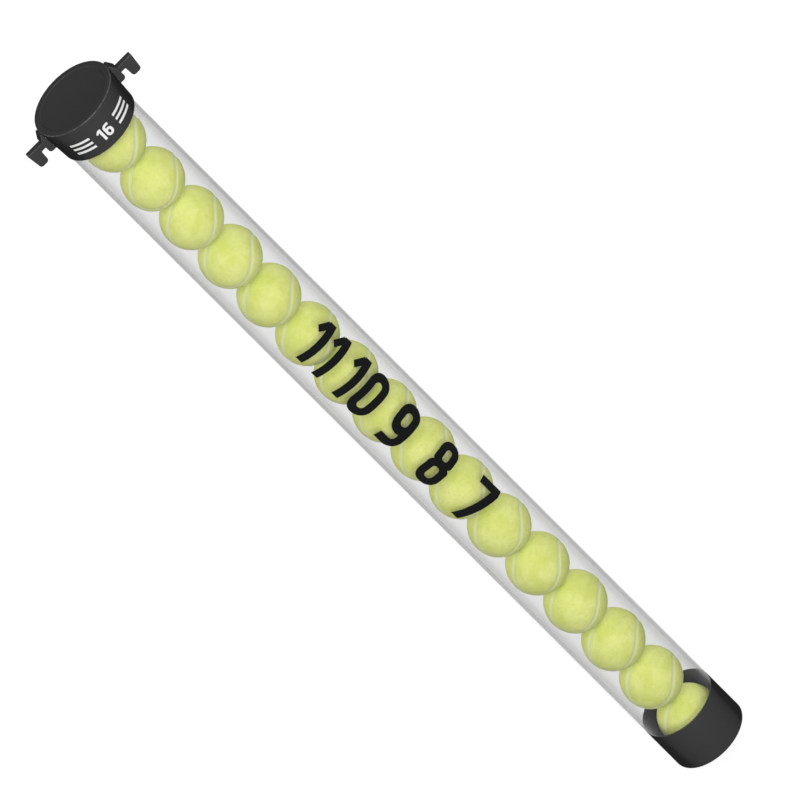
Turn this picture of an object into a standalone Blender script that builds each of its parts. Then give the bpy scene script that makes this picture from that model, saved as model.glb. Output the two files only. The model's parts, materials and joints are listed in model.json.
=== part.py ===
"""Tennis ball tube: a clear tube that picks balls up through its foot and hangs by two hooks.

The frame stands the tube on its mouth: the origin is the centre of the foot, +Z runs along the
tube towards the cap, and the hooks lie along X. All lengths are in metres.
"""

import math

import bpy
import bmesh
from mathutils import Matrix, Vector

for stale in list(bpy.data.objects):
    bpy.data.objects.remove(stale)

# Clearance between pieces that touch on the real object
FIT_GAP = 0.0003

# Balls, one on top of the other on the tube's axis
BALL_DIAMETER = 0.0670
BALL_COUNT = 16
BALL_SUBDIVISIONS = 3

# Clear tube
TUBE_BORE = 0.0820
TUBE_WALL = 0.0025
HEAD_SPACE = 0.0350
ROUND_STEPS = 64

# Collar round the tube's foot, flush with the tube but for a hair
COLLAR_HEIGHT = 0.0570
COLLAR_WALL = 0.0011
COLLAR_PROUD = 0.0002
COLLAR_LIP_THICKNESS = 0.0030
COLLAR_FOOT_ROUND = 0.0014
COLLAR_RIM_ROUND = 0.0004

# Ring that the fingers hinge on, clamped between the collar's lip and the tube's end
MOUTH_DIAMETER = 0.0740
RING_WALL = 0.0027
RING_FLANGE_THICKNESS = 0.0015
RING_FOOT_HEIGHT = 0.0006
RING_LEAD_IN = 0.0010

# Retaining fingers
FINGER_COUNT = 8
FINGER_SETBACK = 0.0006
FINGER_ROOT_RADIUS = 0.0010
FINGER_TIP_RADIUS = 0.0007
FINGER_LENGTH = 0.0138
FINGER_LEAN = math.radians(50.0)
FINGER_ROOT_WIDTH = 0.0140
FINGER_TIP_WIDTH = 0.0110
FINGER_ROUND_STEPS = 6

# Cap: a tapered skirt outside the tube and a short plug inside it
CAP_HEIGHT = 0.0460
CAP_TOP_DIAMETER = 0.0966
CAP_WALL = 0.0018
CAP_CEILING = 0.0030
CAP_TOP_ROUND = 0.0012
CAP_SKIRT_ROUND = 0.0008
CAP_DISH_DIAMETER = 0.0820
CAP_DISH_DEPTH = 0.0008
PLUG_DEPTH = 0.0150
PLUG_WALL = 0.0028
SEAL_THICKNESS = 0.0013
SEAL_DROP = 0.0092
SEAL_STEPS = 8

# Hanging hooks: a lug riveted to the cap, an arm, and a tip that turns down
HOOK_SPAN = 0.1490
HOOK_PLATE_WIDTH = 0.0076
HOOK_EDGE_ROUND = 0.0005
HOOK_CORNER_ROUND = 0.0012
LUG_DROP = 0.0005
LUG_HEIGHT = 0.0240
LUG_WIDTH = 0.0140
LUG_REACH = 0.0062
LUG_SHOULDER_ACROSS = 0.0045
LUG_SHOULDER_DOWN = 0.0085
LUG_FOOT_ROUND = 0.0040
ARM_DROP = 0.0100
ARM_HEIGHT = 0.0076
HOOK_GAP = 0.0058
TIP_HEIGHT = 0.0217
TIP_OUTER_LEAN = 0.0024
TIP_INNER_LEAN = 0.0008
TIP_FOOT_ROUND = 0.0038

# Rivets that hold each hook, set from inside the cap
RIVET_SPREAD = 0.0076
RIVET_DROP = 0.0090
RIVET_SHANK_DIAMETER = 0.0028
RIVET_HEAD_DIAMETER = 0.0052
RIVET_HEAD_THICKNESS = 0.0010
RIVET_BITE = 0.0040
RIVET_STEPS = 16

# Levels and radii of the foot, counted up from the floor
ball_radius = BALL_DIAMETER / 2
ball_pitch = BALL_DIAMETER + FIT_GAP
bore_radius = TUBE_BORE / 2
tube_radius = bore_radius + TUBE_WALL
collar_radius = tube_radius + COLLAR_PROUD
collar_bore_radius = collar_radius - COLLAR_WALL
step_radius = collar_bore_radius - FIT_GAP
mouth_radius = MOUTH_DIAMETER / 2
sleeve_radius = mouth_radius + RING_WALL
flange_bottom = COLLAR_LIP_THICKNESS + FIT_GAP
flange_top = flange_bottom + RING_FLANGE_THICKNESS
tube_bottom = flange_top + FIT_GAP

# Hinge line and tip of a finger. The lowest ball stands one gap off the round tips
hinge_radius = mouth_radius + FINGER_SETBACK + FINGER_ROOT_RADIUS
hinge_height = flange_top + FIT_GAP + FINGER_ROOT_RADIUS
tip_radius = hinge_radius - FINGER_LENGTH * math.sin(FINGER_LEAN)
tip_height = hinge_height + FINGER_LENGTH * math.cos(FINGER_LEAN)
tip_reach = ball_radius + FIT_GAP + FINGER_TIP_RADIUS
first_ball_height = tip_height + math.sqrt(tip_reach**2 - tip_radius**2)
top_ball_crown = first_ball_height + (BALL_COUNT - 1) * ball_pitch + ball_radius

# Head of the tube. The cap's own pieces count their heights from its foot
tube_top = top_ball_crown + HEAD_SPACE
ceiling_height = CAP_HEIGHT - CAP_CEILING
cap_bottom = tube_top + FIT_GAP - ceiling_height
cap_bore_radius = tube_radius + FIT_GAP
cap_foot_radius = cap_bore_radius + CAP_WALL
cap_top_radius = CAP_TOP_DIAMETER / 2
plug_radius = bore_radius - FIT_GAP
lug_face = cap_top_radius + LUG_REACH
arm_top = CAP_HEIGHT - ARM_DROP
rivet_height = CAP_HEIGHT - RIVET_DROP


def cap_outer_radius(height):
    """Radius of the cap's outside at a height over its foot: a straight taper."""
    return cap_foot_radius + height / CAP_HEIGHT * (cap_top_radius - cap_foot_radius)


def finish(name, colour, roughness, metallic=0.0, alpha=1.0):
    """One Principled shader with a piece's own colour and gloss."""
    material = bpy.data.materials.new(name)
    material.use_nodes = True
    shader = material.node_tree.nodes["Principled BSDF"]
    shader.inputs["Base Color"].default_value = (*colour, 1.0)
    shader.inputs["Roughness"].default_value = roughness
    shader.inputs["Metallic"].default_value = metallic
    shader.inputs["Alpha"].default_value = alpha
    return material


def empty(name, height):
    """The point on the tube's axis that a sliding group hangs from."""
    holder = bpy.data.objects.new(name, None)
    bpy.context.scene.collection.objects.link(holder)
    holder.location.z = height
    return holder


def place(name, mesh, material=None, location=(0, 0, 0), turn=0.0, parent=None):
    """Put a mesh in the scene, turned about Z and moved, under its parent if it has one."""
    piece = bpy.data.objects.new(name, mesh)
    bpy.context.scene.collection.objects.link(piece)
    piece.location = location
    piece.rotation_euler.z = turn
    piece.parent = parent
    if material and not mesh.materials:
        mesh.materials.append(material)
    return piece


def guide(name, form, parent=None):
    """A shape that cuts or joins others and isn't a piece of the object."""
    shape = place(name, to_mesh(name, form), parent=parent)
    shape.hide_render = True
    shape.display_type = "WIRE"
    return shape


def combine(piece, shape, operation):
    """Cut a guide out of the piece, or join it on."""
    step = piece.modifiers.new(shape.name, "BOOLEAN")
    step.operation = operation
    step.object = shape


def to_mesh(name, form):
    """Store a form as a mesh with its faces outward, smooth but for its sharp edges."""
    bmesh.ops.recalc_face_normals(form, faces=form.faces)
    mesh = bpy.data.meshes.new(name)
    form.to_mesh(mesh)
    form.free()
    mesh.shade_smooth()
    mesh.set_sharp_from_angle(angle=math.radians(35.0))
    return mesh


def joined(name, first, second):
    """One mesh from two forms that overlap."""
    body = place(name, to_mesh(name, first))
    other = guide(f"{name}_guide", second)
    combine(body, other, "UNION")
    graph = bpy.context.evaluated_depsgraph_get()
    mesh = bpy.data.meshes.new_from_object(body.evaluated_get(graph))
    for used in (body, other):
        bpy.data.objects.remove(used)
    return mesh


def arc(radius, height, bend, start, end, steps=3):
    """Points on a round of radius bend about (radius, height), between two angles in degrees."""
    angles = [math.radians(start + (end - start) * i / steps) for i in range(steps + 1)]
    return [(radius + bend * math.cos(a), height + bend * math.sin(a)) for a in angles]


def turned(profile, closed, steps=ROUND_STEPS):
    """Spin a profile of (radius, height) points about Z. An open one is filled at both ends."""
    form = bmesh.new()
    points = [form.verts.new((radius, 0.0, height)) for radius, height in profile]
    lines = [form.edges.new(pair) for pair in zip(points, points[1:])]
    if closed:
        lines.append(form.edges.new((points[-1], points[0])))
    bmesh.ops.spin(
        form, geom=points + lines, axis=(0, 0, 1), cent=(0, 0, 0),
        angle=math.tau, steps=steps, use_merge=True,
    )
    bmesh.ops.remove_doubles(form, verts=form.verts, dist=1e-6)
    bmesh.ops.holes_fill(form, edges=[e for e in form.edges if e.is_boundary])
    return form


def rounded(corners, steps=3):
    """Outline of (x, z, radius) corners, each an arc that is tangent to both of its sides."""
    outline = []
    for i, (x, z, radius) in enumerate(corners):
        corner = Vector((x, z))
        back = (Vector(corners[i - 1][:2]) - corner).normalized()
        ahead = (Vector(corners[(i + 1) % len(corners)][:2]) - corner).normalized()
        half = back.angle(ahead) / 2
        centre = corner + (back + ahead).normalized() * radius / math.sin(half)
        start = corner + back * radius / math.tan(half) - centre
        sweep = -math.copysign(math.pi - 2 * half, back.cross(ahead))
        count = steps if radius else 0
        for step in range(count + 1):
            outline.append(centre + Matrix.Rotation(sweep * step / max(count, 1), 2) @ start)
    return outline


def plate(outline, width, edge_round=0.0):
    """Extrude an outline in the XZ plane to a plate centred on Y, and round its long edges."""
    form = bmesh.new()
    face = form.faces.new([form.verts.new((x, -width / 2, z)) for x, z in outline])
    grown = bmesh.ops.extrude_face_region(form, geom=[face])
    far = [v for v in grown["geom"] if isinstance(v, bmesh.types.BMVert)]
    bmesh.ops.translate(form, verts=far, vec=(0, width, 0))
    if edge_round:
        sharp = [e for e in form.edges if e.calc_face_angle(0.0) > math.radians(60.0)]
        bmesh.ops.bevel(
            form, geom=sharp, offset=edge_round, segments=2, profile=0.5, affect="EDGES",
        )
    return form


def make_tube(material):
    """Clear tube, stepped down at its foot so that the collar lies flush round it."""
    step_top = COLLAR_HEIGHT + FIT_GAP
    profile = [
        (bore_radius, tube_bottom),
        (step_radius, tube_bottom),
        (step_radius, step_top),
        (tube_radius, step_top),
        (tube_radius, tube_top),
        (bore_radius, tube_top),
    ]
    place("clear_tube", to_mesh("clear_tube", turned(profile, closed=True)), material)


def make_collar(material):
    """Collar: a thin sleeve round the tube's foot, with a lip turned in under the tube."""
    lip_bore = sleeve_radius + FIT_GAP
    foot = (collar_radius - COLLAR_FOOT_ROUND, COLLAR_FOOT_ROUND, COLLAR_FOOT_ROUND)
    rim = (collar_radius - COLLAR_RIM_ROUND, COLLAR_HEIGHT - COLLAR_RIM_ROUND, COLLAR_RIM_ROUND)
    profile = [
        (lip_bore, 0.0),
        *arc(*foot, -90, 0),
        *arc(*rim, 0, 90, steps=2),
        (collar_bore_radius, COLLAR_HEIGHT),
        (collar_bore_radius, COLLAR_LIP_THICKNESS),
        (lip_bore, COLLAR_LIP_THICKNESS),
    ]
    place("mouth_collar", to_mesh("mouth_collar", turned(profile, closed=True)), material)


def make_ring(material):
    """Finger ring: a short sleeve inside the collar's lip, and a flange that lies on the lip."""
    profile = [
        (mouth_radius + RING_LEAD_IN, RING_FOOT_HEIGHT),
        (sleeve_radius, RING_FOOT_HEIGHT),
        (sleeve_radius, flange_bottom),
        (step_radius, flange_bottom),
        (step_radius, flange_top),
        (mouth_radius, flange_top),
        (mouth_radius, RING_FOOT_HEIGHT + RING_LEAD_IN),
    ]
    place("finger_ring", to_mesh("finger_ring", turned(profile, closed=True)), material)


def finger_outline():
    """Section of a finger: a round root on its hinge and a round tip, joined by tangents."""
    upright = math.pi / 2 + FINGER_LEAN
    tip = Vector((math.cos(upright), math.sin(upright))) * FINGER_LENGTH
    flank = math.acos((FINGER_ROOT_RADIUS - FINGER_TIP_RADIUS) / FINGER_LENGTH)
    outline = []
    for centre, radius, start, end in (
        (Vector((0, 0)), FINGER_ROOT_RADIUS, flank, math.tau - flank),
        (tip, FINGER_TIP_RADIUS, -flank, flank),
    ):
        for i in range(FINGER_ROUND_STEPS + 1):
            angle = upright + start + (end - start) * i / FINGER_ROUND_STEPS
            outline.append(centre + Vector((math.cos(angle), math.sin(angle))) * radius)
    return outline, tip


def make_fingers(material):
    """Fingers all round the mouth. Each has its origin on its hinge and its hinge along its Y."""
    outline, tip = finger_outline()
    form = plate(outline, 1.0)
    for vert in form.verts:
        along = Vector((vert.co.x, vert.co.z)).dot(tip) / FINGER_LENGTH**2
        share = min(max(along, 0.0), 1.0)
        vert.co.y *= FINGER_ROOT_WIDTH + share * (FINGER_TIP_WIDTH - FINGER_ROOT_WIDTH)
    mesh = to_mesh("finger", form)
    for i in range(FINGER_COUNT):
        turn = math.tau * i / FINGER_COUNT
        hinge = Matrix.Rotation(turn, 3, "Z") @ Vector((hinge_radius, 0, hinge_height))
        place(f"finger_{i + 1}", mesh, material, hinge, turn)


def make_balls(material):
    """The balls, under one parent because the whole column slides together."""
    column = empty("ball_column", first_ball_height)
    form = bmesh.new()
    bmesh.ops.create_icosphere(form, subdivisions=BALL_SUBDIVISIONS, radius=ball_radius)
    mesh = to_mesh("ball", form)
    for i in range(BALL_COUNT):
        place(f"ball_{i + 1:02d}", mesh, material, (0, 0, i * ball_pitch), parent=column)


def seal_groove():
    """Bottom and top of the groove that the seal sits in, with room beside the seal."""
    middle = ceiling_height - SEAL_DROP
    half = SEAL_THICKNESS / 2 + 2 * FIT_GAP
    return middle - half, middle + half


def make_cap(material, parent, holes):
    """Cap: its profile runs down inside the plug, up to the tube's slot and out round the skirt."""
    groove_bottom, groove_top = seal_groove()
    groove_radius = plug_radius - SEAL_THICKNESS - FIT_GAP
    skirt = (cap_foot_radius - CAP_SKIRT_ROUND, CAP_SKIRT_ROUND, CAP_SKIRT_ROUND)
    brow = (cap_top_radius - CAP_TOP_ROUND, CAP_HEIGHT - CAP_TOP_ROUND, CAP_TOP_ROUND)
    dish_radius = CAP_DISH_DIAMETER / 2
    profile = [
        (plug_radius - PLUG_WALL, ceiling_height),
        (plug_radius - PLUG_WALL, ceiling_height - PLUG_DEPTH),
        (plug_radius, ceiling_height - PLUG_DEPTH),
        (plug_radius, groove_bottom),
        (groove_radius, groove_bottom),
        (groove_radius, groove_top),
        (plug_radius, groove_top),
        (plug_radius, ceiling_height),
        (cap_outer_radius(ceiling_height) - CAP_WALL, ceiling_height),
        (cap_bore_radius, 0.0),
        *arc(*skirt, -90, 0, steps=2),
        *arc(*brow, 0, 90),
        (dish_radius, CAP_HEIGHT),
        (dish_radius - CAP_DISH_DEPTH, CAP_HEIGHT - CAP_DISH_DEPTH),
    ]
    cap = place("cap", to_mesh("cap", turned(profile, closed=False)), material, parent=parent)
    combine(cap, holes, "DIFFERENCE")


def make_seal(material, parent):
    """Rubber ring in the plug's groove, which grips the tube's bore."""
    section = arc(
        plug_radius - SEAL_THICKNESS / 2, ceiling_height - SEAL_DROP, SEAL_THICKNESS / 2,
        0, 360 * (1 - 1 / SEAL_STEPS), steps=SEAL_STEPS - 1,
    )
    place("cap_seal", to_mesh("cap_seal", turned(section, closed=True)), material, parent=parent)


def arm_outline():
    """Arm and tip from the front. Both sides of the tip lean in on their way down."""
    root = cap_top_radius + LUG_REACH / 2
    inner = lug_face + HOOK_GAP
    outer = HOOK_SPAN / 2
    foot = arm_top - TIP_HEIGHT
    return rounded([
        (root, arm_top, 0),
        (root, arm_top - ARM_HEIGHT, 0),
        (inner, arm_top - ARM_HEIGHT, HOOK_CORNER_ROUND),
        (inner + TIP_INNER_LEAN, foot, TIP_FOOT_ROUND),
        (outer - TIP_OUTER_LEAN, foot, TIP_FOOT_ROUND),
        (outer, arm_top, HOOK_CORNER_ROUND),
    ])


def lug_outline():
    """Lug from the front, with a sloped shoulder at its top and a round foot."""
    top = CAP_HEIGHT - LUG_DROP
    return rounded([
        (cap_foot_radius, top, 0),
        (cap_foot_radius, top - LUG_HEIGHT, 0),
        (lug_face, top - LUG_HEIGHT, LUG_FOOT_ROUND),
        (lug_face, top - LUG_SHOULDER_DOWN, HOOK_CORNER_ROUND),
        (lug_face - LUG_SHOULDER_ACROSS, top, HOOK_CORNER_ROUND),
    ])


def make_hooks(material, parent, holes):
    """The two hooks share a mesh, the left one turned half round, and both fit the cap's taper."""
    beyond = LUG_HEIGHT
    taper = [
        (cap_outer_radius(height) + FIT_GAP, height) for height in (CAP_HEIGHT + beyond, -beyond)
    ]
    envelope = guide("cap_envelope", turned(taper, closed=False), parent)
    arm = plate(arm_outline(), HOOK_PLATE_WIDTH, HOOK_EDGE_ROUND)
    lug = plate(lug_outline(), LUG_WIDTH, HOOK_EDGE_ROUND)
    mesh = joined("hook", arm, lug)
    for name, turn in (("hook_right", 0.0), ("hook_left", math.pi)):
        hook = place(name, mesh, material, turn=turn, parent=parent)
        combine(hook, envelope, "DIFFERENCE")
        combine(hook, holes, "DIFFERENCE")


def rivet_seat():
    """Where the outer face of a rivet's head lies: against the cap's inner wall, one gap off."""
    head = RIVET_HEAD_DIAMETER / 2
    wall = cap_outer_radius(rivet_height - head) - CAP_WALL
    return math.sqrt(wall**2 - (RIVET_SPREAD / 2 + head) ** 2) - FIT_GAP


def rivet_places():
    """Where the four rivets point out of the axis: two side by side through each hook's lug."""
    return [
        Matrix.Rotation(side, 4, "Z")
        @ Matrix.Translation((0, across, rivet_height))
        @ Matrix.Rotation(math.pi / 2, 4, "Y")
        for side in (0.0, math.pi)
        for across in (-RIVET_SPREAD / 2, RIVET_SPREAD / 2)
    ]


def make_rivets(material, parent):
    """Rivets: a flat head inside the cap and a shank that ends inside the lug."""
    seat = rivet_seat()
    shank = RIVET_SHANK_DIAMETER / 2
    profile = [
        (RIVET_HEAD_DIAMETER / 2, seat - RIVET_HEAD_THICKNESS),
        (RIVET_HEAD_DIAMETER / 2, seat),
        (shank, seat),
        (shank, cap_outer_radius(rivet_height) + RIVET_BITE),
    ]
    mesh = to_mesh("hook_rivet", turned(profile, closed=False, steps=RIVET_STEPS))
    for i, where in enumerate(rivet_places()):
        rivet = place(f"hook_rivet_{i + 1}", mesh, material, parent=parent)
        rivet.matrix_basis = where


def rivet_holes(parent):
    """Guide for the rivets' holes: through the cap's wall and blind in the lugs."""
    hole = RIVET_SHANK_DIAMETER / 2 + FIT_GAP
    profile = [
        (hole, rivet_seat() - RIVET_HEAD_THICKNESS),
        (hole, cap_outer_radius(rivet_height) + RIVET_BITE + FIT_GAP),
    ]
    every = bmesh.new()
    for where in rivet_places():
        one = to_mesh("rivet_hole", turned(profile, closed=False, steps=RIVET_STEPS))
        one.transform(where)
        every.from_mesh(one)
        bpy.data.meshes.remove(one)
    return guide("rivet_holes", every, parent)


black = finish("black_plastic", (0.018, 0.018, 0.019), 0.42)
nylon = finish("black_nylon", (0.020, 0.020, 0.021), 0.50)
rubber = finish("black_rubber", (0.025, 0.025, 0.025), 0.80)
steel = finish("steel", (0.55, 0.55, 0.56), 0.35, metallic=1.0)
clear = finish("clear_plastic", (0.85, 0.85, 0.86), 0.10, alpha=0.25)
felt = finish("felt", (0.66, 0.76, 0.19), 0.95)

make_tube(clear)
make_collar(black)
make_ring(nylon)
make_fingers(nylon)
make_balls(felt)

cap_lift = empty("cap_lift", cap_bottom)
hole_guide = rivet_holes(cap_lift)
make_cap(black, cap_lift, hole_guide)
make_seal(rubber, cap_lift)
make_hooks(black, cap_lift, hole_guide)
make_rivets(steel, cap_lift)
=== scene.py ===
"""Tennis ball tube: the finish of every piece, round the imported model.

The sections follow the tube as it is put together: balls, finger ring, fingers, collar, clear
tube, its count, cap, seal, the cap's mark, hooks and rivets. Then come the floor, the light and the
camera.
"""

import json
import math

import bmesh
import bpy
import numpy as np
from mathutils import Matrix, Vector


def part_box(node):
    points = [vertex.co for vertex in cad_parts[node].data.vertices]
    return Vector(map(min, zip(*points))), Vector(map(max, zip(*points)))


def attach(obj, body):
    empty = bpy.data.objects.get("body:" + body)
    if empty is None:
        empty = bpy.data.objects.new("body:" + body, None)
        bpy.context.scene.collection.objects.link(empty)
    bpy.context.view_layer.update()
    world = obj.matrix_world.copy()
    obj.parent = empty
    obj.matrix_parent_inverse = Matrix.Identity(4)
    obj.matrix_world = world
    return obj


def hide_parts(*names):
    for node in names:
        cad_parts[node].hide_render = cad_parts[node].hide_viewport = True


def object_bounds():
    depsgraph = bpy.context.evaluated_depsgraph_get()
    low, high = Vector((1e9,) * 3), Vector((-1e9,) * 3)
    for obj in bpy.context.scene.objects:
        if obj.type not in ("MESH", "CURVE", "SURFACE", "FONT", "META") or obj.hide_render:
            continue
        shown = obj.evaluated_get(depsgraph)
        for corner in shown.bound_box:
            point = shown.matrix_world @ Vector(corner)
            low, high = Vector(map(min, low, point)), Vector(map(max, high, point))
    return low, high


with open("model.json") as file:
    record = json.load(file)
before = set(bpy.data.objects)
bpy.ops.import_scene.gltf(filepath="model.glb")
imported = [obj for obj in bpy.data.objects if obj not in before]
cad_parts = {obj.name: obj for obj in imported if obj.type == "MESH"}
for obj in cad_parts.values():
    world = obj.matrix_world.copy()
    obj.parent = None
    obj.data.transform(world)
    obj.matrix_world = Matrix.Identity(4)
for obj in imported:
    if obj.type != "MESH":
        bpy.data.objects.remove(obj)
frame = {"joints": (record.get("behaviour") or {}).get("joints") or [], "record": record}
cad_box = [list(corner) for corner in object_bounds()]


# The balls: hollow rubber cores, each covered with two dog-bone pieces of yellow felt. A pale
# rubber seam lies in a shallow groove where the two pieces meet. They stand on one another on the
# tube's axis, and each is turned a little from the one below.
BALL_ROWS = 96
BALL_COLUMNS = 192
SEAM_WAIST = 0.80
SEAM_SAMPLES = 720
SEAM_HALF_WIDTH = 0.0022
SEAM_DEPTH = 0.0006
SEAM_SLOPE = math.radians(37.0)
SEAM_TIP = math.radians(-26.0)
VIEW_ELEVATION = math.radians(34.0)
BALL_TURN = math.radians(2.5)
BALL_SEED = 16
NAP_HEIGHT = 0.00007
NAP_ROOM = 1.5 * NAP_HEIGHT
NAP_WAVES = 60
NAP_SHORTEST = 0.0028
NAP_LONGEST = 0.0065
NAP_GRAIN = 1500.0
TUFT_GRAIN = 420.0
PATCH_GRAIN = 42.0
FELT_RELIEF = 0.0005
FELT_BRIGHT = (0.92, 0.985, 0.31)
FELT_DEEP = (0.79, 0.87, 0.185)
# Painted shade in the hollows between tufts: the deep yellow darkened to this share.
TUFT_PAINTED_SHADE = 0.80
SEAM_COLOUR = (0.88, 0.93, 0.48)
CREASE = math.radians(40.0)
MERGE_DISTANCE = 1e-7


def shell(name, points, wrap_rows=False, fill_ends=False, crease=CREASE):
    """One closed mesh over a grid of points.

    Point (i, j) is joined to (i + 1, j) and (i, j + 1). Columns always wrap round to the first,
    rows only if asked, and otherwise the first and last row may be filled with a face each.
    Points that fall together, as at a pole, become one.
    """
    rows, columns = points.shape[:2]
    row = np.arange(rows if wrap_rows else rows - 1)[:, None]
    column = np.arange(columns)[None, :]
    below = (row + 1) % rows
    beside = (column + 1) % columns
    corners = [(row, column), (row, beside), (below, beside), (below, column)]
    faces = np.stack([r * columns + c for r, c in corners], axis=-1).reshape(-1, 4).tolist()
    if fill_ends:
        faces += [range(columns), range((rows - 1) * columns, rows * columns)]
    mesh = bpy.data.meshes.new(name)
    mesh.from_pydata(points.reshape(-1, 3).tolist(), [], faces)
    return tidy(mesh, crease)


def tidy(mesh, crease=CREASE):
    """Merge a mesh's doubles, turn its faces outward and shade it smooth up to a crease angle."""
    form = bmesh.new()
    form.from_mesh(mesh)
    bmesh.ops.remove_doubles(form, verts=form.verts, dist=MERGE_DISTANCE)
    loose = [edge for edge in form.edges if edge.is_wire]
    bmesh.ops.delete(form, geom=loose, context="EDGES")
    bmesh.ops.recalc_face_normals(form, faces=form.faces)
    form.to_mesh(mesh)
    form.free()
    mesh.shade_smooth()
    mesh.set_sharp_from_angle(angle=crease)
    return mesh


def piece(name, mesh, material, body, node=None):
    """Show a mesh as a piece that rides on a body and stands for its CAD node."""
    made = bpy.data.objects.new(name, mesh)
    bpy.context.scene.collection.objects.link(made)
    mesh.materials.clear()
    mesh.materials.append(material)
    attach(made, body)
    if node:
        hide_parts(node)


def put(tree, kind, inputs, **settings):
    """Add a shader node. An input is a plain value, or the output of another node."""
    made = tree.nodes.new(kind)
    for name, value in settings.items():
        setattr(made, name, value)
    for name, value in inputs.items():
        if isinstance(value, bpy.types.NodeSocket):
            tree.links.new(value, made.inputs[name])
        else:
            made.inputs[name].default_value = value
    return made


def surface(name, **sockets):
    """A material with one Principled shader. Underscores in a socket's name stand for spaces."""
    material = bpy.data.materials.new(name)
    material.use_nodes = True
    tree = material.node_tree
    shader = tree.nodes["Principled BSDF"]
    for socket, value in sockets.items():
        shader.inputs[socket.replace("_", " ")].default_value = value
    where = put(tree, "ShaderNodeTexCoord", {}).outputs["Object"]
    return material, tree, shader, where


def noise(tree, where, scale, detail=2.0, roughness=0.5):
    """Noise in object space, at so many grains to the metre."""
    values = {"Vector": where, "Scale": scale, "Detail": detail, "Roughness": roughness}
    return put(tree, "ShaderNodeTexNoise", values).outputs["Fac"]


def ramp(tree, value, low, high, to_low=0.0, to_high=1.0):
    """Map a value from one range to another, smoothly, and hold it at both ends."""
    values = {
        "Value": value, "From Min": low, "From Max": high, "To Min": to_low, "To Max": to_high,
    }
    made = put(tree, "ShaderNodeMapRange", values, interpolation_type="SMOOTHSTEP")
    return made.outputs["Result"]


def maths(tree, operation, *values):
    """The result of an operation on plain values or the outputs of other nodes."""
    made = put(tree, "ShaderNodeMath", dict(enumerate(values)), operation=operation)
    return made.outputs["Value"]


def blend(tree, share, first, second):
    """Mix two colours by a share."""
    made = put(tree, "ShaderNodeMix", {"Factor": share}, data_type="RGBA")
    for socket, colour in (("A", first), ("B", second)):
        target = next(s for s in made.inputs if s.name == socket and s.type == "RGBA")
        if isinstance(colour, bpy.types.NodeSocket):
            tree.links.new(colour, target)
        else:
            target.default_value = (*colour, 1.0)
    return next(s for s in made.outputs if s.type == "RGBA")


def relief(tree, shader, height, distance, strength=1.0):
    """Bump from a height of 0 to 1 that stands for a real distance."""
    values = {"Height": height, "Distance": distance, "Strength": strength}
    bump = put(tree, "ShaderNodeBump", values)
    tree.links.new(bump.outputs["Normal"], shader.inputs["Normal"])


def felt_material():
    """Brushed felt: patches of two yellows, fine nap, tufts with painted shade in their hollows, a
    pale seam.
    """
    material, tree, shader, where = surface(
        "ball_felt", Roughness=0.95, Sheen_Weight=0.10, Sheen_Roughness=0.6,
        Specular_IOR_Level=0.15,
    )
    nap = noise(tree, where, NAP_GRAIN, detail=4.0, roughness=0.7)
    tufts = noise(tree, where, TUFT_GRAIN, detail=3.0, roughness=0.6)
    patches = noise(tree, where, PATCH_GRAIN, detail=3.0, roughness=0.6)
    yellow = blend(tree, ramp(tree, patches, 0.3, 0.7), FELT_DEEP, FELT_BRIGHT)
    # Painted shade: the felt turns to a darker yellow where the tufts' noise is low, which is where
    # the bump below sinks.
    hollow_painted_shade = tuple(TUFT_PAINTED_SHADE * value for value in FELT_DEEP)
    yellow = blend(tree, ramp(tree, tufts, 0.48, 0.30, to_high=0.40), yellow, hollow_painted_shade)
    distance = put(tree, "ShaderNodeAttribute", {}, attribute_name="seam").outputs["Fac"]
    on_seam = ramp(tree, distance, 1.25 * SEAM_HALF_WIDTH, 0.75 * SEAM_HALF_WIDTH)
    colour = blend(tree, on_seam, yellow, SEAM_COLOUR)
    tree.links.new(colour, shader.inputs["Base Color"])
    relief(tree, shader, maths(tree, "ADD", nap, tufts), FELT_RELIEF, strength=0.6)
    return material


def seam_curve():
    """Seam of a unit ball: (a cos t + b cos 3t, a sin t - b sin 3t, c sin 2t).

    With a + b = 1 and c = 2 sqrt(a b), every point lies on the sphere.
    """
    a = SEAM_WAIST
    b = 1.0 - a
    t = np.linspace(0.0, math.tau, SEAM_SAMPLES, endpoint=False)
    x = a * np.cos(t) + b * np.cos(3 * t)
    y = a * np.sin(t) - b * np.sin(3 * t)
    return np.stack([x, y, 2 * math.sqrt(a * b) * np.sin(2 * t)], axis=1)


def seam_axes():
    """Turn from the seam's own axes to the tube's.

    A broad lobe of felt, half way between the seam's X and -Y, faces the viewer, tipped along the
    seam's Z. That Z rises to the right across the view.
    """
    towards = np.array([0.0, -math.cos(VIEW_ELEVATION), math.sin(VIEW_ELEVATION)])
    up = np.array([0.0, math.sin(VIEW_ELEVATION), math.cos(VIEW_ELEVATION)])
    right = np.array([1.0, 0.0, 0.0])
    along = math.cos(SEAM_SLOPE) * right + math.sin(SEAM_SLOPE) * up
    lobe = math.cos(SEAM_TIP) * towards + math.sin(SEAM_TIP) * along
    z = math.cos(SEAM_TIP) * along - math.sin(SEAM_TIP) * towards
    across = np.cross(z, lobe)
    return np.stack([(lobe + across) / math.sqrt(2), (across - lobe) / math.sqrt(2), z], axis=1)


def small_turn(random):
    """A rotation by a small random angle about each axis, as the product of three turns."""
    turn = np.eye(3)
    for first, second in ((0, 1), (1, 2), (2, 0)):
        angle = random.normal(0.0, BALL_TURN)
        step = np.eye(3)
        step[[first, second], [first, second]] = math.cos(angle)
        step[first, second] = -math.sin(angle)
        step[second, first] = math.sin(angle)
        turn = turn @ step
    return turn


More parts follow.
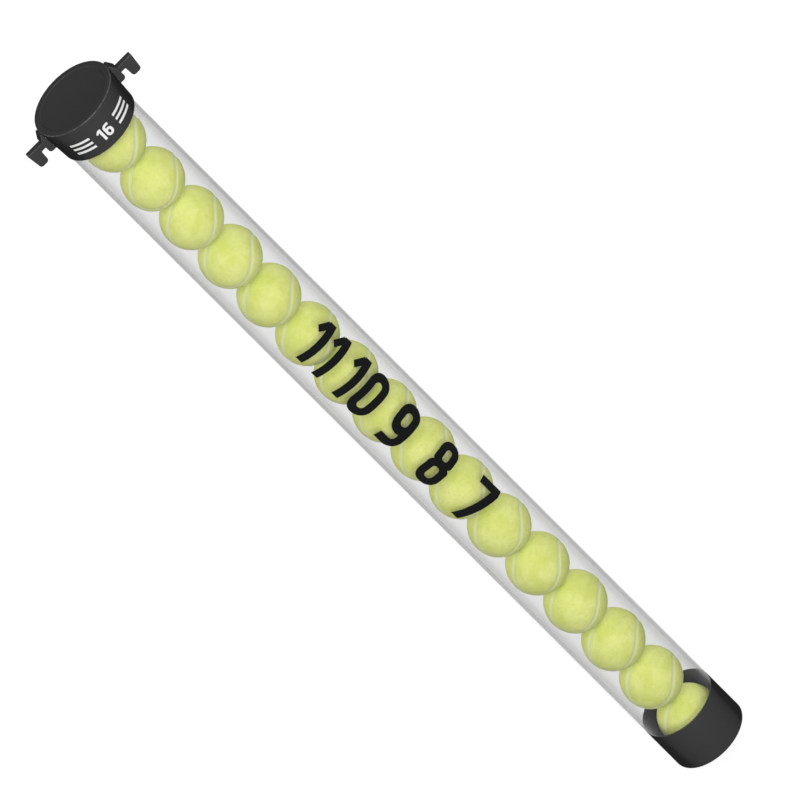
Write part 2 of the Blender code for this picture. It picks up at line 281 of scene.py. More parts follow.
def ripple(points, random, waves, shortest, longest):
    """Smooth noise near unit height: many sine waves, random in direction, length and phase."""
    direction = random.normal(size=(3, waves))
    direction /= np.linalg.norm(direction, axis=0)
    number = math.tau / random.uniform(shortest, longest, waves)
    phase = random.uniform(0.0, math.tau, waves)
    return np.sin(points @ (direction * number) + phase).sum(axis=1) / math.sqrt(waves / 2)


def unit_ball():
    """Unit sphere: (sin p cos q, sin p sin q, cos p) for polar angle p and azimuth q."""
    polar = np.linspace(0.0, math.pi, BALL_ROWS + 1)[:, None]
    azimuth = np.linspace(0.0, math.tau, BALL_COLUMNS, endpoint=False)[None, :]
    height = np.cos(polar) + 0.0 * azimuth
    grid = [np.sin(polar) * np.cos(azimuth), np.sin(polar) * np.sin(azimuth), height]
    return shell("unit_ball", np.stack(grid, axis=-1), crease=math.pi)


def points_of(mesh):
    """The places of a mesh's vertices, one row each."""
    places = np.empty(3 * len(mesh.vertices), np.float32)
    mesh.vertices.foreach_get("co", places)
    return places.reshape(-1, 3).astype(float)


def ball_mesh(name, base, centre, radius, random):
    """A ball: the sphere, sunk by a bell curve of the distance to the seam and roughened by nap.

    The sphere is drawn in by the nap's room, which keeps the nap within the ball's size.
    """
    way = points_of(base)
    curve = seam_curve() @ (small_turn(random) @ seam_axes()).T
    nearest = np.clip((way @ curve.T).max(axis=1), -1.0, 1.0)
    distance = radius * np.arccos(nearest)
    groove = SEAM_DEPTH * np.exp(-((distance / SEAM_HALF_WIDTH) ** 4))
    nap = NAP_HEIGHT * ripple(radius * way, random, NAP_WAVES, NAP_SHORTEST, NAP_LONGEST)
    size = radius - NAP_ROOM - groove + nap * (1.0 - groove / SEAM_DEPTH)
    mesh = base.copy()
    mesh.name = name
    mesh.vertices.foreach_set("co", (way * size[:, None] + centre).astype(np.float32).ravel())
    seam = mesh.attributes.new("seam", "FLOAT", "POINT")
    seam.data.foreach_set("value", distance.astype(np.float32))
    mesh.update()
    return mesh


ball_nodes = frame["record"]["behaviour"]["bodies"]["balls"]
felt = felt_material()
plain_ball = unit_ball()
ball_random = np.random.default_rng(BALL_SEED)
for node in ball_nodes:
    low, high = (np.array(corner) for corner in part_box(node))
    mesh = ball_mesh(f"felt_{node}", plain_ball, (low + high) / 2, (high - low)[2] / 2, ball_random)
    piece(f"felt_{node}", mesh, felt, "balls", node)


# The finger ring: a short sleeve inside the collar's lip with a flange that lies on the lip,
# moulded in black nylon and clamped there by the tube's end.
MOUTH_RADIUS = 0.0370
RING_WALL = 0.0027
RING_FLANGE = 0.0015
RING_LEAD_IN = 0.0010
SMALL_ROUND = 0.0002
TURN_STEPS = 192
CORNER_STEPS = 5
LEAST_BEND = 0.008
MOST_BEND = 0.05
CORNER_WEAR = 0.7
CORNER_WEAR_LEAST = 0.1
WORN_PALER = 2.6
DUST_PALER = 0.035
CLOUD_GRAIN = 28.0
WEAR_GRAIN = 170.0
DUST_GRAIN = 900.0
ETCH_DEPTH = 0.00012
NYLON_COLOUR = (0.040, 0.040, 0.043)
SAME_POINT = 1e-9


def rounded(corners, steps=CORNER_STEPS):
    """Outline through (across, up, radius) corners, each turned into an arc.

    A corner's arc touches both of its sides: its centre lies on their bisector at radius over
    the sine of half their angle, and it sweeps through pi less that angle. Points that fall
    together, as at a sharp corner, become one.
    """
    corners = np.array(corners, float)
    place, radius = corners[:, :2], corners[:, 2:]
    back = np.roll(place, 1, axis=0) - place
    ahead = np.roll(place, -1, axis=0) - place
    back /= np.linalg.norm(back, axis=1, keepdims=True)
    ahead /= np.linalg.norm(ahead, axis=1, keepdims=True)
    half = np.arccos(np.clip((back * ahead).sum(axis=1, keepdims=True), -1.0, 1.0)) / 2
    middle = (back + ahead) / np.linalg.norm(back + ahead, axis=1, keepdims=True)
    centre = place + middle * radius / np.sin(half)
    start = place + back * radius / np.tan(half) - centre
    side = back[:, :1] * ahead[:, 1:] - back[:, 1:] * ahead[:, :1]
    sweep = -np.sign(side) * (math.pi - 2 * half) * np.linspace(0.0, 1.0, steps + 1)
    turned_across = start[:, :1] * np.cos(sweep) - start[:, 1:] * np.sin(sweep)
    turned_up = start[:, :1] * np.sin(sweep) + start[:, 1:] * np.cos(sweep)
    arcs = np.stack([turned_across, turned_up], axis=-1) + centre[:, None, :]
    outline = arcs.reshape(-1, 2)
    apart = np.linalg.norm(outline - np.roll(outline, 1, axis=0), axis=1) > SAME_POINT
    return outline[apart]


def turned(name, outline, steps=TURN_STEPS, crease=CREASE):
    """Turn an outline of (radius, height) round Z: (r cos q, r sin q, z) for each angle q."""
    angle = np.linspace(0.0, math.tau, steps, endpoint=False)[None, :]
    radius, height = outline[:, :1], outline[:, 1:]
    grid = [radius * np.cos(angle), radius * np.sin(angle), height + 0.0 * angle]
    return shell(name, np.stack(grid, axis=-1), wrap_rows=True, crease=crease)


def mark_corners(mesh):
    """Mark the vertices inside rounded corners, which wear first.

    At each vertex the bend is 1 - |mean of its faces' normals|: 1 - cos 9 inside a corner that is
    rounded in steps of 18 degrees, less along its rims and on walls, and more in sharp corners.
    """
    vertex = np.empty(len(mesh.loops), np.int32)
    mesh.loops.foreach_get("vertex_index", vertex)
    sides = np.empty(len(mesh.polygons), np.int32)
    mesh.polygons.foreach_get("loop_total", sides)
    normal = np.empty(3 * len(mesh.polygons), np.float32)
    mesh.polygons.foreach_get("normal", normal)
    total = np.zeros((len(mesh.vertices), 3))
    np.add.at(total, vertex, np.repeat(normal.reshape(-1, 3), sides, axis=0))
    bend = 1.0 - np.linalg.norm(total, axis=1) / np.bincount(vertex, minlength=len(total))
    inside = (bend > LEAST_BEND) & (bend < MOST_BEND)
    corner = mesh.attributes.new("corner", "FLOAT", "POINT")
    corner.data.foreach_set("value", inside.astype(np.float32))
    return mesh


def moulded_material(name, colour, roughness, grain, gloss):
    """Moulded plastic: spark-etched grain, cloudy gloss, faint dust, and corners rubbed paler.

    The grain is in spots to the metre. The gloss is the share of a reflection as dark as the
    plastic, with a black edge tint, which keeps the rims of round pieces dark.
    """
    material, tree, shader, where = surface(
        name, Metallic=gloss, Roughness=roughness, Specular_IOR_Level=0.0,
        Specular_Tint=(0.0, 0.0, 0.0, 1.0),
    )
    etched = noise(tree, where, grain, detail=3.0, roughness=0.6)
    cloud = noise(tree, where, CLOUD_GRAIN, detail=4.0, roughness=0.6)
    dust = noise(tree, where, DUST_GRAIN)
    patchy = noise(tree, where, WEAR_GRAIN, detail=4.0, roughness=0.7)
    dusty = ramp(tree, dust, 0.70, 0.80, to_high=0.25)
    grey = tuple(value + DUST_PALER for value in colour)
    corner = put(tree, "ShaderNodeAttribute", {}, attribute_name="corner").outputs["Fac"]
    worn = ramp(tree, patchy, 0.38, 0.62, CORNER_WEAR_LEAST, CORNER_WEAR)
    rubbed = maths(tree, "MULTIPLY", ramp(tree, corner, 0.2, 1.0), worn)
    pale = tuple(WORN_PALER * value for value in colour)
    tone = blend(tree, rubbed, blend(tree, dusty, colour, grey), pale)
    tree.links.new(tone, shader.inputs["Base Color"])
    cloudy = ramp(tree, cloud, 0.3, 0.7, roughness - 0.05, roughness + 0.07)
    tree.links.new(cloudy, shader.inputs["Roughness"])
    relief(tree, shader, etched, ETCH_DEPTH, strength=0.5)
    return material


def moulding(mesh, material, body, node):
    """Show a moulded piece under its mesh's name, marked for wear."""
    piece(mesh.name, mark_corners(mesh), material, body, node)


ring_low, ring_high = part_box("finger_ring")
flange_bottom = ring_high.z - RING_FLANGE
sleeve_radius = MOUTH_RADIUS + RING_WALL
nylon = moulded_material("black_nylon", NYLON_COLOUR, roughness=0.48, grain=1800.0, gloss=0.4)
ring_outline = rounded([
    (MOUTH_RADIUS, ring_low.z, RING_LEAD_IN),
    (sleeve_radius, ring_low.z, SMALL_ROUND),
    (sleeve_radius, flange_bottom, SMALL_ROUND),
    (ring_high.x, flange_bottom, SMALL_ROUND),
    (ring_high.x, ring_high.z, SMALL_ROUND),
    (MOUTH_RADIUS, ring_high.z, SMALL_ROUND),
])
moulding(turned("moulded_ring", ring_outline), nylon, "tube", "finger_ring")


# The fingers: eight nylon tabs round the mouth, each with a round root and a round tip. They lean
# in and up, give way as a ball is pushed in and carry the lowest ball.
FINGER_ROOT_RADIUS = 0.0010
FINGER_TIP_RADIUS = 0.0007
FINGER_LENGTH = 0.0138
FINGER_LEAN = math.radians(50.0)
FINGER_ROOT_WIDTH = 0.0140
FINGER_TIP_WIDTH = 0.0110
FINGER_EDGE = 0.0003
FINGER_ROUND_STEPS = 10


def sideways(path, closed=True):
    """Direction to the side at each point of a path.

    It is the mean of the normals of the stretches before and after the point, lengthened so that
    a step along it moves both stretches by the same amount.
    """
    ahead = np.roll(path, -1, axis=0) - path
    if not closed:
        ahead[-1] = ahead[-2]
    ahead /= np.linalg.norm(ahead, axis=1, keepdims=True)
    after = np.stack([ahead[:, 1], -ahead[:, 0]], axis=1)
    before = np.roll(after, 1, axis=0)
    if not closed:
        before[0] = after[0]
    return (after + before) / (1.0 + (after * before).sum(axis=1, keepdims=True))


def plate(name, outline, half_width, edge, steps=4):
    """Plate with rounded edges: an outline in XZ, carried across Y and filled at both faces.

    An angle a runs from 0 at a face to a right angle at the flank. The outline is drawn in by
    edge (1 - sin a) there, and stands edge (1 - cos a) short of the plate's half width.
    """
    following = np.roll(outline, -1, axis=0)
    area = (outline[:, 0] * following[:, 1] - outline[:, 1] * following[:, 0]).sum()
    outward = np.sign(area) * sideways(outline)
    bend = np.linspace(0.0, math.pi / 2, steps + 1)
    inset = edge * (1.0 - np.sin(bend))
    level = np.broadcast_to(half_width, len(outline)) - edge * (1.0 - np.cos(bend))[:, None]
    inset = np.concatenate([inset, inset[::-1]])[:, None, None]
    level = np.concatenate([level, -level[::-1]])
    flat = outline - outward * inset
    return shell(name, np.stack([flat[..., 0], level, flat[..., 1]], axis=-1), fill_ends=True)


def finger_outline():
    """Section of a finger: a round root on the hinge and a round tip, joined by tangents.

    A tangent leaves both rounds at the angle whose cosine is the difference of their radii over
    the distance between them.
    """
    upright = math.pi / 2 + FINGER_LEAN
    flank = math.acos((FINGER_ROOT_RADIUS - FINGER_TIP_RADIUS) / FINGER_LENGTH)
    root = upright + np.linspace(flank, math.tau - flank, FINGER_ROUND_STEPS + 1)
    tip = upright + np.linspace(-flank, flank, FINGER_ROUND_STEPS + 1)
    way = np.array([math.cos(upright), math.sin(upright)])
    around_root = FINGER_ROOT_RADIUS * np.stack([np.cos(root), np.sin(root)], axis=1)
    around_tip = FINGER_TIP_RADIUS * np.stack([np.cos(tip), np.sin(tip)], axis=1)
    outline = np.concatenate([around_root, around_tip + FINGER_LENGTH * way])
    share = np.clip(outline @ way / FINGER_LENGTH, 0.0, 1.0)
    width = FINGER_ROOT_WIDTH + share * (FINGER_TIP_WIDTH - FINGER_ROOT_WIDTH)
    return outline, width / 2


outline, half_width = finger_outline()
plain_finger = plate("plain_finger", outline, half_width, FINGER_EDGE)
for joint in frame["joints"]:
    if not joint["child"].startswith("finger"):
        continue
    node = joint["child"]
    hinge = Vector(joint["pos_m"])
    mesh = plain_finger.copy()
    mesh.name = f"moulded_{node}"
    mesh.transform(Matrix.Translation(hinge) @ Matrix.Rotation(math.atan2(hinge.y, hinge.x), 4, "Z"))
    moulding(mesh, nylon, node, node)


# The collar: a thin black sleeve pressed over the stepped foot of the tube. Its lip turns in
# under the tube and holds the finger ring.
COLLAR_WALL = 0.0011
COLLAR_LIP = 0.0030
COLLAR_FOOT_ROUND = 0.0014
COLLAR_RIM_ROUND = 0.0004
FIT_GAP = 0.0003
PLASTIC_COLOUR = (0.045, 0.045, 0.046)

collar_low, collar_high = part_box("mouth_collar")
black = moulded_material("black_plastic", PLASTIC_COLOUR, roughness=0.40, grain=1500.0, gloss=0.5)
lip_bore = sleeve_radius + FIT_GAP
collar_bore = collar_high.x - COLLAR_WALL
collar_outline = rounded([
    (lip_bore, collar_low.z, SMALL_ROUND),
    (collar_high.x, collar_low.z, COLLAR_FOOT_ROUND),
    (collar_high.x, collar_high.z, COLLAR_RIM_ROUND),
    (collar_bore, collar_high.z, COLLAR_RIM_ROUND),
    (collar_bore, COLLAR_LIP, SMALL_ROUND),
    (lip_bore, COLLAR_LIP, SMALL_ROUND),
])
moulding(
    turned("moulded_collar", collar_outline), black, "tube", "mouth_collar",
)


# The clear tube: extruded plastic, stepped down at its foot inside the collar. It is faintly
# grey, and hazy with the fine scuffs that balls and gravel leave along it.
TUBE_WALL = 0.0025
TUBE_END_ROUND = 0.0003
TUBE_TINT = (0.185, 0.18, 0.20, 1.0)
VEIL_FRONT = 0.09
VEIL_SIDE = 0.19
VEIL_RIM = 0.42
SIDE_SLANTS = (0.36, 0.66)
RIM_SLANTS = (0.60, 0.80)
SCUFF_VEIL = 0.04
SCUFF_STRETCH = (1.0, 1.0, 0.06)
SCUFF_GRAIN = 900.0
SCUFF_PATCH_GRAIN = 22.0


def scaled(tree, where, scale):
    """A place with its X, Y and Z scaled."""
    return put(tree, "ShaderNodeMapping", {"Vector": where, "Scale": scale}).outputs["Vector"]


def from_origin(tree, where):
    """The distance of a place from the origin."""
    return put(tree, "ShaderNodeVectorMath", {0: where}, operation="LENGTH").outputs["Value"]


def clear_material():
    """Clear plastic: each face lets most light through, less where it is seen at a slant.

    The veil, the share of light that a face holds back, rises from VEIL_FRONT to VEIL_SIDE with
    the slant. The outside has a rim as well, where the eye looks along the wall. Fine scuffs run
    along the tube, as noise that is stretched along Z and cut off at a level.
    """
    material, tree, shader, where = surface(
        "clear_plastic", Base_Color=TUBE_TINT, Roughness=0.16, IOR=1.49, Specular_IOR_Level=0.35,
    )
    scratches = noise(tree, scaled(tree, where, SCUFF_STRETCH), SCUFF_GRAIN)
    worn = noise(tree, where, SCUFF_PATCH_GRAIN, detail=4.0, roughness=0.6)
    scuffs = maths(
        tree, "MULTIPLY", ramp(tree, scratches, 0.62, 0.74), ramp(tree, worn, 0.45, 0.65),
    )
    slant = put(tree, "ShaderNodeLayerWeight", {"Blend": 0.5}).outputs["Facing"]
    radius = from_origin(tree, scaled(tree, where, (1.0, 1.0, 0.0)))
    outside = ramp(tree, radius, bore_radius, tube_radius)
    rim = maths(tree, "MULTIPLY", outside, ramp(tree, slant, *RIM_SLANTS, to_high=VEIL_RIM))
    veil = maths(tree, "ADD", ramp(tree, slant, *SIDE_SLANTS, VEIL_FRONT, VEIL_SIDE), rim)
    veil = maths(tree, "MULTIPLY_ADD", scuffs, SCUFF_VEIL, veil)
    tree.links.new(veil, shader.inputs["Alpha"])
    tree.links.new(ramp(tree, worn, 0.3, 0.7, 0.10, 0.22), shader.inputs["Roughness"])
    return material


tube_low, tube_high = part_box("clear_tube")
tube_radius = tube_high.x
bore_radius = tube_radius - TUBE_WALL
step_radius = collar_bore - FIT_GAP
step_top = collar_high.z + FIT_GAP
tube_outline = rounded([
    (bore_radius, tube_low.z, TUBE_END_ROUND),
    (step_radius, tube_low.z, TUBE_END_ROUND),
    (step_radius, step_top, SMALL_ROUND),
    (tube_radius, step_top, TUBE_END_ROUND),
    (tube_radius, tube_high.z, TUBE_END_ROUND),
    (bore_radius, tube_high.z, TUBE_END_ROUND),
])
piece(
    "extruded_tube", turned("extruded_tube", tube_outline), clear_material(), "tube", "clear_tube",
)


# The count on the tube: black screen print, read from the cap to the mouth. Each number stands
# beside the ball that it counts from the mouth up.
COUNTS = range(11, 6, -1)
COUNT_HEIGHT = 0.0545
FIGURE_WIDTH = 0.56
ONE_WIDTH = 0.36
FIGURE_GAP = 0.13
STROKE_WIDTH = 0.185
FLAG_WIDTH = 0.8 * STROKE_WIDTH
RING_ROUNDNESS = 0.98
FIGURE_STEPS = 16
INK_THICKNESS = 0.00008
INK_LIFT = 0.00003
CUT_STEP = 0.0012
INK_WEAR_GRAIN = 260.0
INK_PEEL_GRAIN = 2200.0
INK_PEEL_DEPTH = 0.00003
INK_FADE = 0.85
INK_CHALK = 0.006
BLACK_INK_COLOUR = (0.004, 0.004, 0.0045)


def ink_material(name, colour, roughness, specular):
    """Printed ink: nearly flat colour, faded and chalky here and there, with a fine orange peel."""
    material, tree, shader, where = surface(
        name, Roughness=roughness, Specular_IOR_Level=specular,
    )
    worn = noise(tree, where, INK_WEAR_GRAIN, detail=3.0, roughness=0.6)
    faded = tuple(INK_FADE * value + INK_CHALK for value in colour)
    thin = ramp(tree, worn, 0.60, 0.75)
    tree.links.new(blend(tree, thin, colour, faded), shader.inputs["Base Color"])
    peel = noise(tree, where, INK_PEEL_GRAIN)
    relief(tree, shader, peel, INK_PEEL_DEPTH, strength=0.4)
    return material


def carved(mesh, steps):
    """Join other meshes to a mesh, or cut them out of it, in turn. All of them are used up."""
    collection = bpy.context.scene.collection
    name = mesh.name
    body = bpy.data.objects.new(name, mesh)
    collection.objects.link(body)
    tools = []
    for operation, tool_mesh in steps:
        tool = bpy.data.objects.new("tool", tool_mesh)
        collection.objects.link(tool)
        change = body.modifiers.new("carve", "BOOLEAN")
        change.operation = operation
        change.object = tool
        tools.append(tool)
    graph = bpy.context.evaluated_depsgraph_get()
    result = bpy.data.meshes.new_from_object(body.evaluated_get(graph))
    for used in (body, *tools):
        spent = used.data
        bpy.data.objects.remove(used)
        bpy.data.meshes.remove(spent)
    result.name = name
    return tidy(result)


def stroke(corners, width, closed=False):
    """Stroke of even width and unit depth along a path of (x, y, radius) corners."""
    path = rounded(corners, FIGURE_STEPS) if len(corners) > 2 else np.array(corners)[:, :2]
    way = sideways(path, closed)[:, None, :]
    reach = np.array([0.5, 0.5, -0.5, -0.5])[None, :, None] * width
    flat = path[:, None, :] + way * reach
    depth = np.broadcast_to([0.5, -0.5, -0.5, 0.5], flat.shape[:2])
    points = np.concatenate([flat, depth[..., None]], axis=-1)
    return shell("stroke", points, wrap_rows=closed, fill_ends=not closed)


def slab(corners, depth=1.0):
    """Flat form of a depth whose outline is rounded at its (x, y, radius) corners."""
    outline = rounded(corners, FIGURE_STEPS)
    level = np.broadcast_to(np.array([[0.5], [-0.5]]) * depth, (2, len(outline)))
    flat = np.broadcast_to(outline, (2, *outline.shape))
    return shell("slab", np.concatenate([flat, level[..., None]], axis=-1), fill_ends=True)


def mirrored(corners):
    """An outline from its right-hand corners, listed upward, and their mirror image."""
    return corners + [(-x, y, radius) for x, y, radius in reversed(corners)]


def figure_mesh(figure):
    """A figure in a box one unit tall: strokes joined, or an outline less its eyes.

    Corners are (x, y, radius) from the middle of the box. A six is a nine turned over.
    """
    side = FIGURE_WIDTH / 2
    across = side - STROKE_WIDTH / 2
    up = (1.0 - STROKE_WIDTH) / 2

    def ring(low, high):
        sides = [(-across, low), (across, low), (across, high), (-across, high)]
        turn = RING_ROUNDNESS * min(across, (high - low) / 2)
        return stroke([(x, y, turn) for x, y in sides], STROKE_WIDTH, closed=True)

    steps = []
    if figure == "0":
        start = ring(-up, up)
    elif figure == "1":
        stem = (ONE_WIDTH - STROKE_WIDTH) / 2
        flag = [
            (-ONE_WIDTH / 2, 0.22, 0.0),
            (stem - 0.35 * STROKE_WIDTH, 0.5 - 0.34 * STROKE_WIDTH, 0.0),
        ]
        start = stroke([(stem, -0.5, 0.0), (stem, 0.5, 0.0)], STROKE_WIDTH)
        steps = [("UNION", stroke(flag, FLAG_WIDTH))]
    elif figure == "7":
        bar = 0.5 - 0.9 * STROKE_WIDTH
        start = slab([
            (-side, 0.5, 0.0), (-side, bar, 0.0), (0.07, bar, 0.0), (-0.20, -0.5, 0.0),
            (0.0, -0.5, 0.0), (side, bar + 0.02, 0.02), (side, 0.5, 0.0),
        ])
    elif figure == "8":
        start = slab(mirrored([
            (side, -0.5, 0.25), (side, -0.01, 0.10), (0.75 * side, 0.03, 0.0),
            (0.92 * side, 0.07, 0.08), (0.92 * side, 0.5, 0.23),
        ]))
        eyes = [
            [(0.34 * side, -0.345, 0.08), (0.34 * side, -0.05, 0.08)],
            [(0.28 * side, 0.11, 0.06), (0.28 * side, 0.345, 0.06)],
        ]
        steps = [("DIFFERENCE", slab(mirrored(eye), depth=2.0)) for eye in eyes]
    else:
        tail = [(across, 0.2, 0.0), (across, -up, across), (-across - 0.04, -up, 0.0)]
        start = ring(-0.07, up)
        steps = [("UNION", stroke(tail, STROKE_WIDTH))]
    mesh = carved(start, steps)
    if figure == "6":
        mesh.transform(Matrix.Rotation(math.pi, 4, "Z"))
    return mesh


def number_forms(number, height, x, y):
    """The figures of a number, set side by side about (x, y): (mesh, scale, x, y) for each."""
    widths = [ONE_WIDTH if figure == "1" else FIGURE_WIDTH for figure in number]
    total = sum(widths) + FIGURE_GAP * (len(widths) - 1)
    starts = [sum(widths[:i]) + FIGURE_GAP * i for i in range(len(widths))]
    return [
        (figure_mesh(figure), height, x + height * (start + width / 2 - total / 2), y)
        for figure, start, width in zip(number, starts, widths)
    ]


def bar_form(x, y, length, width):
    """A bar along X, centred on (x, y)."""
    return stroke([(-length / 2, 0.0, 0.0), (length / 2, 0.0, 0.0)], width), 1.0, x, y


def print_mesh(name, forms, axis, bend):
    """Set flat forms in their places, cut them across an axis at even steps and bend them."""
    form = bmesh.new()
    for mesh, scale, x, y in forms:
        mesh.transform(Matrix.Translation((x, y, 0.0)) @ Matrix.Diagonal((scale, scale, 1.0, 1.0)))
        form.from_mesh(mesh)
        bpy.data.meshes.remove(mesh)
    bmesh.ops.triangulate(form, faces=form.faces)
    ends = [vert.co[axis] for vert in form.verts]
    normal = Vector([float(i == axis) for i in range(3)])
    for place in np.arange(min(ends) + CUT_STEP, max(ends), CUT_STEP):
        bmesh.ops.bisect_plane(
            form, geom=form.verts[:] + form.edges[:] + form.faces[:], dist=MERGE_DISTANCE,
            plane_co=normal * float(place), plane_no=normal,
        )
    mesh = bpy.data.meshes.new(name)
    form.to_mesh(mesh)
    form.free()
    mesh.vertices.foreach_set("co", bend(points_of(mesh)).astype(np.float32).ravel())
    return tidy(mesh)


def along_tube(places):
    """Bend print on to the tube's front: x runs down the tube and y round it, to the right.

    With q = y / r from the front, the place is (r sin q, -r cos q, -x), and z adds to r.
    """
    angle = places[:, 1] / tube_radius
    radius = tube_radius + INK_LIFT + INK_THICKNESS * (places[:, 2] + 0.5)
    return np.stack([radius * np.sin(angle), -radius * np.cos(angle), -places[:, 0]], axis=1)


count_forms = []
for count in COUNTS:
    level = sum(corner.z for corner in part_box(f"ball_{count:02d}")) / 2
    count_forms += number_forms(str(count), COUNT_HEIGHT, -level, 0.0)
black_ink = ink_material("black_ink", BLACK_INK_COLOUR, roughness=0.40, specular=0.06)
piece("count_print", print_mesh("count_print", count_forms, 1, along_tube), black_ink, "tube")


# The cap: one moulding with a tapered skirt outside the tube, a plug inside it and a groove in
# the plug for the seal. Its top is dished, and its wall is pierced for the hooks' rivets.
CAP_WALL = 0.0018
CAP_CEILING = 0.0030
CAP_TOP_ROUND = 0.0012
CAP_SKIRT_ROUND = 0.0008
CAP_DISH_RADIUS = 0.0410
CAP_DISH_DEPTH = 0.0008
CAP_STEPS = 256
PLUG_DEPTH = 0.0150
PLUG_WALL = 0.0028
SEAL_THICKNESS = 0.0013
SEAL_DROP = 0.0092
RIVET_SHANK_RADIUS = 0.0014
RIVET_HOLE_STEPS = 32

cap_low, cap_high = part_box("cap")
rivet_boxes = [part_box(f"hook_rivet_{i}") for i in range(1, 5)]
cap_top_radius = cap_high.y
cap_bore = tube_radius + FIT_GAP
cap_foot_radius = cap_bore + CAP_WALL
plug_radius = bore_radius - FIT_GAP
ceiling = cap_high.z - CAP_CEILING
groove_middle = ceiling - SEAL_DROP
groove_half = SEAL_THICKNESS / 2 + 2 * FIT_GAP
taper = (cap_top_radius - cap_foot_radius) / (cap_high.z - cap_low.z)


def cap_side(height):
    """Radius of the cap's outside at a height: a straight taper from its foot."""
    return cap_foot_radius + taper * (height - cap_low.z)


def rivet_hole(low, high):
    """Room for a rivet's shank: a drum along X, as long as the rivet, with a gap all round."""
    angle = np.linspace(0.0, math.tau, RIVET_HOLE_STEPS, endpoint=False)[None, :]
    across = (low.y + high.y) / 2
    up = (low.z + high.z) / 2
    ends = np.array([low.x - FIT_GAP, high.x + FIT_GAP])[:, None]
    radius = RIVET_SHANK_RADIUS + FIT_GAP
    grid = [ends + 0.0 * angle, across + radius * np.cos(angle), up + radius * np.sin(angle)]
    return shell("rivet_hole", np.stack(np.broadcast_arrays(*grid), axis=-1), fill_ends=True)


cap_outline = rounded([
    (0.0, ceiling, 0.0),
    (plug_radius - PLUG_WALL, ceiling, SMALL_ROUND),
    (plug_radius - PLUG_WALL, ceiling - PLUG_DEPTH, TUBE_END_ROUND),
    (plug_radius, ceiling - PLUG_DEPTH, TUBE_END_ROUND),
    (plug_radius, groove_middle - groove_half, SMALL_ROUND),
    (plug_radius - SEAL_THICKNESS - FIT_GAP, groove_middle - groove_half, SMALL_ROUND),
    (plug_radius - SEAL_THICKNESS - FIT_GAP, groove_middle + groove_half, SMALL_ROUND),
    (plug_radius, groove_middle + groove_half, SMALL_ROUND),
    (plug_radius, ceiling, SMALL_ROUND),
    (cap_side(ceiling) - CAP_WALL, ceiling, SMALL_ROUND),
    (cap_bore, cap_low.z, SMALL_ROUND),
    (cap_foot_radius, cap_low.z, CAP_SKIRT_ROUND),
    (cap_top_radius, cap_high.z, CAP_TOP_ROUND),
    (CAP_DISH_RADIUS, cap_high.z, CAP_DISH_DEPTH / 2),
    (CAP_DISH_RADIUS - CAP_DISH_DEPTH, cap_high.z - CAP_DISH_DEPTH, CAP_DISH_DEPTH / 2),
    (0.0, cap_high.z - CAP_DISH_DEPTH, 0.0),
])
cap_mesh = turned("moulded_cap", cap_outline, CAP_STEPS)
cap_mesh = carved(cap_mesh, [("DIFFERENCE", rivet_hole(*box)) for box in rivet_boxes])
moulding(cap_mesh, black, "cap", "cap")


# The seal: a ring of black rubber, stretched over the plug into its groove. It grips the tube's
# bore and holds the cap on.
SEAL_SECTION_STEPS = 24
RUBBER_COLOUR = (0.034, 0.034, 0.034)

seal_low, seal_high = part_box("cap_seal")
seal_section = np.linspace(0.0, math.tau, SEAL_SECTION_STEPS, endpoint=False)
seal_radius = (seal_high.z - seal_low.z) / 2
seal_outline = np.stack([
    seal_high.x - seal_radius + seal_radius * np.cos(seal_section),
    (seal_low.z + seal_high.z) / 2 + seal_radius * np.sin(seal_section),
], axis=1)
rubber = moulded_material("black_rubber", RUBBER_COLOUR, roughness=0.75, grain=2600.0, gloss=0.1)
moulding(turned("rubber_seal", seal_outline), rubber, "cap", "cap_seal")


# The mark on the cap: the number of balls that the tube holds, in white print between two sets
# of bars that run round the cap's front.
MARK_HEIGHT = 0.0160
MARK_BAR_LENGTH = 0.0240
MARK_BAR_WIDTH = 0.0030
MARK_BAR_PLACE = 0.0290
MARK_LEVEL = 0.0190
WHITE_INK_COLOUR = (0.80, 0.80, 0.79)


def round_cap(places):
    """Bend print on to the cap's front: x runs round it to the right and y up its taper.

    With q = x / r from the front, the place is (r sin q, -r cos q, y), and z adds to r.
    """
    height = cap_low.z + MARK_LEVEL + places[:, 1]
    radius = cap_side(height) + INK_LIFT + INK_THICKNESS * (places[:, 2] + 0.5)
    angle = places[:, 0] / cap_side(cap_low.z + MARK_LEVEL)
    return np.stack([radius * np.sin(angle), -radius * np.cos(angle), height], axis=1)


mark_forms = number_forms(str(len(ball_nodes)), MARK_HEIGHT, 0.0, 0.0)
bar_pitch = (MARK_HEIGHT - MARK_BAR_WIDTH) / 2
for side in (-1, 1):
    for level in (-1, 0, 1):
        mark_forms.append(bar_form(
            side * MARK_BAR_PLACE, level * bar_pitch, MARK_BAR_LENGTH, MARK_BAR_WIDTH,
        ))
white_ink = ink_material("white_ink", WHITE_INK_COLOUR, roughness=0.45, specular=0.3)
piece("cap_print", print_mesh("cap_print", mark_forms, 0, round_cap), white_ink, "cap")


# The hooks: black plastic, one on each side of the cap, to hang the tube on a net or a fence. Each
# is one moulding: a lug that fits the cap's taper, an arm, and a tip that turns down.
HOOK_PLATE_WIDTH = 0.0076
HOOK_EDGE_ROUND = 0.0006
HOOK_CORNER_ROUND = 0.0012
HOOK_CORNER_STEPS = 8
LUG_DROP = 0.0005
LUG_HEIGHT = 0.0240
LUG_REACH = 0.0062
LUG_SHOULDER_ACROSS = 0.0045
LUG_SHOULDER_DOWN = 0.0085
LUG_FOOT_ROUND = 0.0040
ARM_DROP = 0.0100
ARM_HEIGHT = 0.0076
HOOK_GAP = 0.0058
TIP_HEIGHT = 0.0217
TIP_OUTER_LEAN = 0.0024
TIP_INNER_LEAN = 0.0008
TIP_FOOT_ROUND = 0.0038


